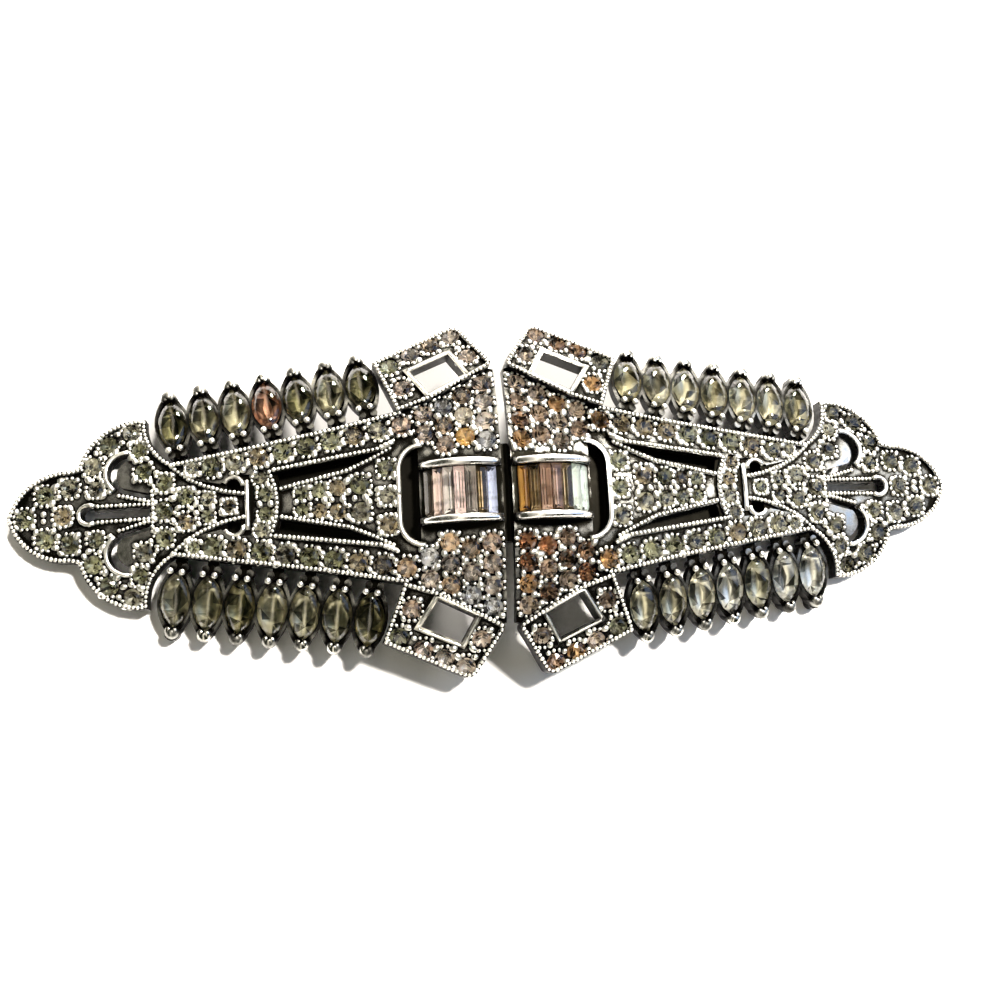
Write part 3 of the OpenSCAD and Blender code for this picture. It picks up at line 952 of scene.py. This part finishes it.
@dataclass
class PaveField:
    """Round stones of one clip with the beads of metal that hold them."""

    side: Side
    dome: Dome
    layout: Layout
    tints: Tints
    # Cut of a round stone of diameter 1, from table to point: sides, radius, height and turn
    cut: tuple = (
        (8, 0.28, 0.19, 22.5),
        (8, 0.41, 0.095, 0),
        (16, 0.5, 0, 0),
        (16, 0.5, -0.02, 0),
        (8, 0.24, -0.24, 22.5),
        (4, 0.01, -0.4, 0),
    )
    # Beads of metal between the stones, and the finer grains between the beads
    bead_r: float = 0.28
    grain_r: float = 0.17
    # Spread of their sizes and of their stretched shapes, and how far they stand up
    uneven: tuple[float, float] = (0.75, 1.15)
    stretch: tuple[float, float] = (1.0, 1.5)
    bead_up: float = 0.05
    # Least gap to a stone, and least share of two beads' radii between their middles
    clear: float = 0.01
    crowding: float = 0.75
    # Widest gap between neighbouring stones, and how far a bead lies beside the line between them
    neighbours: float = 0.75
    beside: float = 0.47
    # Rings of beads and of grains round each stone: number, and distance from the stone's edge
    bead_ring: tuple[int, float] = (4, 0.2)
    grain_ring: tuple[int, float] = (12, 0.14)
    ring_from: float = 45

    def stone(self) -> bpy.types.Mesh:
        """A round stone of diameter 1 with its girdle at the origin.

        Returns:
            The stone's mesh.
        """
        stone = Template("round_stone")
        for sides, radius, height, turn in self.cut:
            stone.ring(sides, radius, height, turn)
        stone.cut()
        return stone.finish()

    def bead_places(self) -> list[tuple[float, float, float, float]]:
        """Beads and grains between the stones, in the order in which they find room.

        Returns:
            Each one's u, v, lift and radius.
        """
        stones = self.layout.stones()
        found: list[tuple[float, float, float, float]] = []

        def offer(u: float, v: float, lift: float, radius: float) -> None:
            """Keeps a place that is clear of the stones, the beads before it and the rails.

            Args:
                u: distance from the centre line.
                v: place across the brooch.
                lift: height above the plate's face.
                radius: the bead's radius.
            """
            for su, sv, size, _ in stones:
                if math.hypot(u - su, v - sv) < size / 2 + self.clear:
                    return
            for bu, bv, _, other in found:
                if math.hypot(u - bu, v - bv) < self.crowding * (radius + other):
                    return
            if lift == self.layout.panel_lift:
                above = Vector((u, abs(v) * (1 + lift / self.dome.radius)))
                if not inside(self.layout.panel_outline, above, self.layout.rail_w):
                    return
            found.append((u, v, lift, radius))

        for i, (u, v, size, lift) in enumerate(stones):
            for ou, ov, other, other_lift in stones[i + 1 :]:
                gap = math.hypot(ou - u, ov - v)
                if gap > (size + other) / 2 + self.neighbours or lift != other_lift:
                    continue
                share = size / (size + other)
                mu, mv = u + (ou - u) * share, v + (ov - v) * share
                nu, nv = -(ov - v) / gap, (ou - u) / gap
                for side in (self.beside, -self.beside):
                    offer(mu + side * nu, mv + side * nv, lift, self.bead_r)
        for radius, (turns, out) in (
            (self.bead_r, self.bead_ring),
            (self.grain_r, self.grain_ring),
        ):
            for u, v, size, lift in stones:
                for i in range(turns):
                    way = Vector((size / 2 + out, 0))
                    way.rotate(Matrix.Rotation(math.radians(self.ring_from + 360 * i / turns), 2))
                    offer(u + way.x, v + way.y, lift, radius)
        for u, v in self.layout.plain_spots:
            offer(u, v, 0, self.bead_r)
            offer(u, -v, 0, self.bead_r)
        return found

    def build(self, glass: Material, foil: Material, metal: Material) -> None:
        """Builds the stones and their beads.

        Args:
            glass: the stones' glass.
            foil: their foiled backs.
            metal: metal of the beads.
        """
        stones = Joined(f"pave_stones_{self.side.word}", [glass, foil])
        stone = self.stone()
        for u, v, size, lift in self.layout.stones():
            turn = self.tints.draw.uniform(0, math.pi)
            place = self.dome.place(self.side, u, v, lift, turn) @ Matrix.Scale(size, 4)
            stones.add(stone, place, self.tints.at(self.side, u, v))
        stones.finish("round_stones", [f"pave_{self.side.word}"])

        beads = Joined(f"grain_beads_{self.side.word}", [metal])
        bead = setting_bead()
        draw = self.tints.draw
        for u, v, lift, radius in self.bead_places():
            radius *= draw.uniform(*self.uneven)
            shape = Matrix.Diagonal((radius * draw.uniform(*self.stretch), radius, radius, 1))
            turn = draw.uniform(0, math.pi)
            place = self.dome.place(self.side, u, v, lift + self.bead_up, turn)
            beads.add(bead, place @ shape)
        beads.finish("cast_metal")


@dataclass
class Milgrain:
    """Rows of tiny beads along the rails of one clip."""

    side: Side
    dome: Dome
    layout: Layout
    draw: random.Random
    # Spacing and radius of the beads, and the spread of their sizes
    pitch: float = 0.38
    bead_r: float = 0.19
    uneven: tuple[float, float] = (0.8, 1.1)

    def rows(self) -> list[tuple[Path, float, bool]]:
        """Rows of the upper half.

        Returns:
            Each row's path, the lift of its rail's foot and whether it is closed.
        """
        lay = self.layout
        half = lay.rail_w / 2
        return [
            (shifted(lay.arm_outer, -half), lay.arm_lift, False),
            (shifted(lay.slot_side, -half), lay.arm_lift, False),
            (lay.tongue_rail, 0, False),
            (lay.slot_end, 0, False),
            (lay.palmette_rail, 0, False),
            (shifted(lay.tip_edge, -half), 0, False),
            (shifted(lay.panel_outline, half, True), lay.panel_lift, True),
            *[(plan(*rib), -lay.rib_sunk, False) for rib in lay.ribs],
        ]

    def build(self, metal: Material) -> None:
        """Builds all the rows as one piece.

        Args:
            metal: metal of the beads.
        """
        beads = Joined(f"milgrain_{self.side.word}", [metal])
        template = Template("milgrain_bead")
        template.ball(around=8, up=4, height=0.8)
        bead = template.finish()
        for path, lift, closed in self.rows():
            for at, _ in steps_along(path, self.pitch, closed):
                for row in Row if at.y > self.bead_r else [Row.TOP]:
                    v = row.value * at.y
                    top = lift + self.layout.rail_h
                    place = self.dome.place(self.side, at.x, v, top, plumb=True)
                    radius = self.bead_r * self.draw.uniform(*self.uneven)
                    beads.add(bead, place @ Matrix.Scale(radius, 4))
        beads.finish("cast_metal")


@dataclass
class Rims:
    """Polished half-round rims of one clip: round its openings and along its plain bars."""

    side: Side
    dome: Dome
    layout: Layout
    # Radius of the rims and of the thinner ones round the windows, and length of their steps
    radius: float = 0.2
    thin: float = 0.13
    pitch: float = 0.4
    # Round rims in plan: middle, radius, span in degrees and number of stretches
    scroll: tuple = ((31.85, 3.45), 1.8, (-55, 95), 10)
    small_hole: tuple = ((22.8, 1.7), 0.82, (20, 180), 8)
    barrel_opening: tuple = ((6.95, 2.2), 2.05, (90, 0), 8)
    keyhole: tuple = ((35.05, 0), 0.85, (-125, 125), 12)
    # Straight rims in plan: foot of the barrel's opening, end of the arm and the crossbar
    opening_foot: tuple[float, float] = (9, 0)
    arm_end: tuple = ((10.4, 4.1), (9.3, 4.6))
    crossbar: tuple = ((21.65, -2.1), (21.65, 2.1))
    # Height of the rims' middles above the metal, and of the windows'
    up: float = 0.18
    window_up: float = 0.2

    def places(self, path: Path, lift: float, row: Row, closed: bool) -> list[Matrix]:
        """Rings of a rim along a plan path.

        Args:
            path: plan points that it follows.
            lift: height of its middle above the plate's face.
            row: half of the clip that it lies on.
            closed: whether its last point joins its first.

        Returns:
            The middle of each ring, with X along the rim.
        """
        mirror = self.side.value * row.value
        return [
            self.dome.place(self.side, at.x, row.value * at.y, lift, mirror * heading, plumb=True)
            for at, heading in steps_along(path, self.pitch, closed)
        ]

    def build(self, metal: Material) -> None:
        """Builds all the rims as one piece.

        Args:
            metal: metal of the rims.
        """
        lay = self.layout
        mirrored = [
            (arc(*self.scroll), self.up, False),
            (arc(*self.small_hole), self.up, False),
            (shifted(lay.window, -lay.rail_w / 2, True), lay.panel_lift + self.window_up, True),
            (arc(*self.barrel_opening) + plan(self.opening_foot), self.up, False),
            (plan(*self.arm_end), lay.arm_lift + self.up, False),
        ]
        rims = Joined(f"polished_rims_{self.side.word}", [metal])
        for path, lift, closed in mirrored:
            for row in Row:
                radius = self.thin if closed else self.radius
                sweep(rims.bm, self.places(path, lift, row, closed), radius, closed)
        for path in (arc(*self.keyhole), plan(*self.crossbar)):
            sweep(rims.bm, self.places(path, self.up, Row.TOP, False), self.radius)
        rims.round_off()
        rims.finish("cast_metal")


@dataclass
class NavetteRow:
    """A row of pointed oval stones with their claws."""

    side: Side
    row: Row
    dome: Dome
    tints: Tints
    # Place in plan of the stone next to the tip, step to the next one, and their turn
    first: tuple[float, float] = (28.0, 7.5)
    step: tuple[float, float] = (-2.7, 0.42)
    lean: float = math.radians(11)
    count: int = 7
    # Size of a stone, and height of its girdle above the plate's face
    length: float = 4.95
    width: float = 2.66
    lift: float = 0.15
    # Cut of a stone, from crown to back: shares of its length and width, height and sides
    cut: tuple = (
        (0.3, 0.25, 0.6, 8),
        (0.6, 0.55, 0.5, 12),
        (0.84, 0.82, 0.3, 16),
        (1, 1, 0, 16),
        (1, 1, -0.06, 16),
        (0.75, 0.6, -0.45, 12),
        (0.5, 0.2, -0.75, 8),
    )
    # Pair of round claws at each stone's inner point: radius and place of their middles
    claw_r: float = 0.29
    claw_side: float = 0.5
    claw_out: float = 0.1
    claw_up: float = 0.32
    # Pair of claws that lie over each knob: half sizes, spacing and place of their middles
    lobe: tuple[float, float, float] = (0.31, 0.42, 0.26)
    lobe_apart: float = 0.52
    lobe_out: float = 0.1
    lobe_up: float = 0.36

    def stone(self) -> bpy.types.Mesh:
        """A pointed oval stone with its girdle at the origin and its length along Y.

        Returns:
            The stone's mesh.
        """
        stone = Template("navette")
        for length, width, height, sides in self.cut:
            for vert in stone.ring(sides, 1, height):
                vert.co.x, vert.co.y = self.oval(vert.co.x, vert.co.y, length, width)
        stone.cut(worn=True)
        return stone.finish()

    def oval(self, x: float, y: float, length: float, width: float) -> tuple[float, float]:
        """Moves a point of the unit circle to the pointed oval's outline.

        Args:
            x: the circle point's X.
            y: its Y.
            length: share of the stone's length.
            width: share of the stone's width.

        Returns:
            The outline point's X and Y.
        """
        l, w = self.length * length, self.width * width
        radius = (l * l + w * w) / (4 * w)
        y_out = y * l / 2
        x_out = math.sqrt(max(radius**2 - y_out**2, 0)) - radius + w / 2
        return math.copysign(x_out, x), y_out

    def build(self, glass: Material, foil: Material, polished: Material, cast: Material) -> None:
        """Builds the row's stones, each for its own node, and the claws of the whole row.

        Args:
            glass: the stones' glass.
            foil: their foiled backs.
            polished: metal of the small inner claws.
            cast: metal of the claws over the knobs.
        """
        template = self.stone()
        claw = setting_bead()
        claws = Joined(f"claws_{self.side.word}_{self.row.word}", [polished])
        lobes = Joined(f"knob_claws_{self.side.word}_{self.row.word}", [cast])
        turn = -self.side.value * self.row.value * self.lean
        for i in range(self.count):
            u = self.first[0] + i * self.step[0]
            v = self.row.value * (self.first[1] + i * self.step[1])
            place = self.dome.place(self.side, u, v, self.lift, turn)
            name = f"navette_{self.side.word}_{self.row.word}_{i + 1}"
            stone = Joined(name.replace("navette", "pointed_oval"), [glass, foil])
            stone.add(template, place, self.tints.oval(self.side, self.row, i + 1))
            stone.finish("pointed_oval_stones", [name])
            inner = -self.row.value * (self.length / 2 + self.claw_out)
            outer = self.row.value * (self.length / 2 + self.lobe_out)
            for x in (-self.claw_side, self.claw_side):
                at = Matrix.Translation((x, inner, self.claw_up)) @ Matrix.Scale(self.claw_r, 4)
                claws.add(claw, place @ at)
            for x in (-self.lobe_apart / 2, self.lobe_apart / 2):
                at = Matrix.Translation((x, outer, self.lobe_up))
                lobes.add(claw, place @ at @ Matrix.Diagonal((*self.lobe, 1)))
        claws.finish("cast_metal")
        lobes.finish("cast_metal")


@dataclass
class Barrel:
    """Channel of long stones on one clip, between two half-round hoops."""

    side: Side
    dome: Dome
    tints: Tints
    count: int = 7
    # Turn from stone to stone about the barrel's axis
    step: float = math.radians(13.2)
    # Middle of the barrel from the centre line, half its width, and its rise above the slope
    middle: float = 3.92
    half: float = 3.47
    rise: float = 1.65
    # A stone's length, width and girdle, and its crown with the width of each sloping facet
    length: float = 3.9
    width: float = 0.9
    girdle: float = 0.04
    crown: float = 0.28
    facet: float = 0.22
    # Keel of a stone's back: how much shorter it is, its share of the width, and its depth
    keel_short: float = 0.9
    keel_width: float = 0.1
    keel_depth: float = 0.4
    # Middle of each end rail beyond the stones' ends, and its top beyond the stones' crowns
    rail_out: float = 0.39
    rail_top: float = 0.12
    # Hoops over the rails: radius, depth of their middle in the rail, half span and stretches
    hoop_r: float = 0.33
    hoop_sunk: float = 0.16
    hoop_span: float = math.radians(47)
    hoop_steps: int = 14
    hoop_sides: int = 12

    @property
    def radius(self) -> float:
        """Radius of the stones' crowns about the barrel's axis."""
        return (self.half**2 + self.rise**2) / (2 * self.rise)

    @property
    def axis(self) -> Matrix:
        """Middle of the barrel's axis, which runs along Y, with Z up from the slope.

        Returns:
            A matrix from millimetres to metres in the frame.
        """
        return (
            Matrix.Scale(MM, 4)
            @ Matrix.Translation((0, 0, self.dome.crest))
            @ Matrix.Rotation(self.side.value * self.dome.slope, 4, "Y")
            @ Matrix.Translation((self.side.value * self.middle, 0, self.rise - self.radius))
        )

    def stone(self) -> bpy.types.Mesh:
        """A baguette with its girdle at the origin and its length along Y.

        Returns:
            The stone's mesh.
        """
        stone = Template("baguette")
        for length, width, height in (
            (self.length - 2 * self.facet, self.width - 2 * self.facet, self.crown),
            (self.length, self.width, 0),
            (self.length, self.width, -self.girdle),
            (self.length - self.keel_short, self.width * self.keel_width, -self.keel_depth),
        ):
            for vert in stone.ring(4, math.sqrt(0.5), height, 45):
                vert.co.x *= width
                vert.co.y *= length
        stone.cut()
        return stone.finish()

    def hoops(self, metal: Material) -> None:
        """Builds the two hoops over the channel's end rails.

        Args:
            metal: metal of the hoops.
        """
        hoops = Joined(f"barrel_hoops_{self.side.word}", [metal])
        height = self.radius + self.rail_top - self.hoop_sunk
        steps = self.hoop_steps
        for y in (-1, 1):
            at = Matrix.Translation((0, y * (self.length / 2 + self.rail_out), height))
            turns = [self.hoop_span * (2 * i / steps - 1) for i in range(steps + 1)]
            places = [self.axis @ Matrix.Rotation(turn, 4, "Y") @ at for turn in turns]
            sweep(hoops.bm, places, self.hoop_r, sides=self.hoop_sides)
        hoops.round_off()
        hoops.finish("cast_metal")

    def build(self, glass: Material, foil: Material, metal: Material) -> None:
        """Builds the stones, each for its own node, and the hoops at their ends.

        Args:
            glass: the stones' glass.
            foil: their foiled backs.
            metal: metal of the hoops.
        """
        template = self.stone()
        up = Matrix.Translation((0, 0, self.radius - self.crown))
        for i in range(self.count):
            turn = self.side.value * (i - (self.count - 1) / 2) * self.step
            stone = Joined(f"long_stone_{self.side.word}_{i + 1}", [glass, foil])
            place = self.axis @ Matrix.Rotation(turn, 4, "Y") @ up
            stone.add(template, place, self.tints.long(self.side, i))
            stone.finish("baguette_stones", [f"baguette_{self.side.word}_{i + 1}"])
        self.hoops(metal)


@dataclass
class Studio:
    """White paper, a key light, a low lamp, a window, a dim room and the photo's camera."""

    # Camera: place in millimetres, turn in degrees, lens and film, and where its view starts
    camera_at: tuple[float, float, float] = (-13.10, -15.64, 106.52)
    camera_turn: tuple[float, float, float] = (8.878, -6.732, -3.176)
    lens: float = 43.2
    film: float = 36.0
    view_from: float = 0.005
    # Paper: its side in metres, how much light it returns, and its roughness
    floor_size: float = 2.0
    paper: float = 0.9
    paper_roughness: float = 0.9
    # Key light: direction, distance and diameter in metres, and power in watts
    key_from: tuple[float, float, float] = (0.36, 0.27, 0.893)
    key_distance: float = 0.6
    key_size: float = 0.09
    key_power: float = 14.0
    key: str = "fff8ee"
    # Low lamp beyond the upper edge, which lights the paper seen through the upper windows
    lamp_from: tuple[float, float, float] = (0.2, 0.94, 0.26)
    lamp_power: float = 14.0
    # Window close by on the right: where it stands in metres, its size and power
    window_at: tuple[float, float, float] = (0.165, 0.03, 0.11)
    window_size: float = 0.22
    window_power: float = 0.17
    window: str = "bcd4ff"
    # Pale strip of wall a little left of overhead: where it starts and ends along X, its colour
    # and how much brighter it is than the dim room round it
    wall_span: tuple[float, float, float, float] = (-0.37, -0.28, -0.14, -0.05)
    wall: str = "e4dccc"
    wall_glow: float = 2.9
    room: str = "262b1f"

    def camera(self) -> None:
        """Sets the camera at the photo's angle."""
        data = bpy.data.cameras.new("camera")
        data.lens = self.lens
        data.sensor_width = self.film
        data.clip_start = self.view_from
        camera = bpy.data.objects.new("camera", data)
        camera.location = Vector(self.camera_at) * MM
        camera.rotation_euler = [math.radians(a) for a in self.camera_turn]
        bpy.context.scene.collection.objects.link(camera)
        bpy.context.scene.camera = camera

    def floor(self) -> None:
        """Lays the paper that the brooch rests on."""
        material, tree = new_material("white_paper")
        shader = add_node(
            tree,
            "ShaderNodeBsdfPrincipled",
            {"Base Color": (*[self.paper] * 3, 1), "Roughness": self.paper_roughness},
        )
        add_node(tree, "ShaderNodeOutputMaterial", {"Surface": shader.outputs[0]})
        bm = bmesh.new()
        bmesh.ops.create_grid(bm, x_segments=1, y_segments=1, size=self.floor_size / 2)
        mesh = bpy.data.meshes.new("floor")
        bm.to_mesh(mesh)
        bm.free()
        mesh.materials.append(material)
        floor = bpy.data.objects.new("floor", mesh)
        bpy.context.scene.collection.objects.link(floor)

    def area(self, name: str, at: Vector, size: float, power: float, colour: str) -> None:
        """Adds a round light that faces the brooch.

        Args:
            name: the light's name.
            at: where it stands, in metres.
            size: its diameter, in metres.
            power: its power in watts.
            colour: its sRGB hex colour.
        """
        data = bpy.data.lights.new(name, "AREA")
        data.shape = "DISK"
        data.size = size
        data.energy = power
        data.color = linear(colour)[:3]
        light = bpy.data.objects.new(name, data)
        light.location = at
        light.rotation_euler = (-at).to_track_quat("-Z", "Y").to_euler()
        bpy.context.scene.collection.objects.link(light)

    def lights(self) -> None:
        """Sets the key light, the low lamp, the window and the dim room round them."""
        key_at = Vector(self.key_from).normalized() * self.key_distance
        self.area("key", key_at, self.key_size, self.key_power, self.key)
        lamp_at = Vector(self.lamp_from).normalized() * self.key_distance
        self.area("lamp", lamp_at, self.key_size, self.lamp_power, self.key)
        window_at = Vector(self.window_at)
        self.area("window", window_at, self.window_size, self.window_power, self.window)
        world = bpy.data.worlds.new("room")
        world.use_nodes = True
        bpy.context.scene.world = world
        tree = world.node_tree
        tree.nodes.clear()
        way = add_node(tree, "ShaderNodeTexCoord").outputs["Generated"]
        along = add_node(tree, "ShaderNodeSeparateXYZ", {0: way}).outputs["X"]
        start, full, fades, end = self.wall_span
        left = add_node(tree, "ShaderNodeMapRange", {0: along, 1: start, 2: full})
        right = add_node(tree, "ShaderNodeMapRange", {0: along, 1: end, 2: fades})
        wall = add_node(
            tree, "ShaderNodeMath", {0: left.outputs[0], 1: right.outputs[0]}, operation="MULTIPLY"
        )
        colour = add_node(
            tree,
            "ShaderNodeMix",
            {0: wall.outputs[0], 6: linear(self.room), 7: linear(self.wall)},
            data_type="RGBA",
        )
        glow = add_node(tree, "ShaderNodeMapRange", {0: wall.outputs[0], 3: 1.0, 4: self.wall_glow})
        back = add_node(
            tree, "ShaderNodeBackground", {"Color": colour.outputs[2], "Strength": glow.outputs[0]}
        )
        add_node(tree, "ShaderNodeOutputWorld", {"Surface": back.outputs[0]})

    def colours(self) -> None:
        """Keeps the paper white and the darks dark, as a plain photograph has them."""
        view = bpy.context.scene.view_settings
        view.view_transform = "Standard"
        view.look = "None"

    def build(self) -> None:
        """Sets up everything that isn't part of the brooch."""
        self.camera()
        self.floor()
        self.lights()
        self.colours()


@dataclass
class Brooch:
    """The whole brooch: its finishes and its parts."""

    nodes: dict[str, bpy.types.Object]
    dome: Dome = field(default_factory=Dome)
    layout: Layout = field(default_factory=Layout)
    tints: Tints = field(default_factory=Tints)

    def dress(self, node: str, material: Material) -> None:
        """Gives a CAD node its finish.

        Args:
            node: the node's name.
            material: its finish.
        """
        slots = self.nodes[node].data.materials
        slots.clear()
        slots.append(material)

    def build(self) -> None:
        """Dresses the CAD metal and builds the stones, beads and claws."""
        cast = CastRhodium().build()
        polished = PolishedMetal().build()
        # Hoops rubbed by cloth, which show a long soft streak along their crowns
        rail = PolishedMetal("polished_rail", "e6e4e0", 0.2).build()
        # Plated steel strip and wire of the hidden frame, dull with age, its colour painted nearly
        # black as shade for the gaps that show it
        steel = PolishedMetal("dull_steel", "12110e", 0.5).build()
        glass, foil = FoiledGlass().build()
        # Baguettes have a duller foil: broad even bands of colour in place of small flashes
        long_glass, long_foil = FoiledGlass("clear_foiled_baguette", 0.5).build()
        # Pointed ovals: facets worn smooth over smoky foil give satin olive with a hard glint
        old_glass, old_foil = FoiledGlass("smoky_foiled_glass", 0.3).build()
        for side in Side:
            self.dress(f"clip_{side.word}", cast)
            PaveField(side, self.dome, self.layout, self.tints).build(glass, foil, polished)
            Milgrain(side, self.dome, self.layout, self.tints.draw).build(polished)
            Rims(side, self.dome, self.layout).build(polished)
            Barrel(side, self.dome, self.tints).build(long_glass, long_foil, rail)
        for side, row in QUARTERS:
            NavetteRow(side, row, self.dome, self.tints).build(old_glass, old_foil, polished, cast)
        self.dress("back_frame", steel)


def main() -> None:
    """Builds the brooch and its studio."""
    logging.basicConfig(level=logging.INFO, format="%(name)s %(message)s")
    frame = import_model()
    Brooch(frame["nodes"]).build()
    Studio().build()


if __name__ == "__main__":
    main()
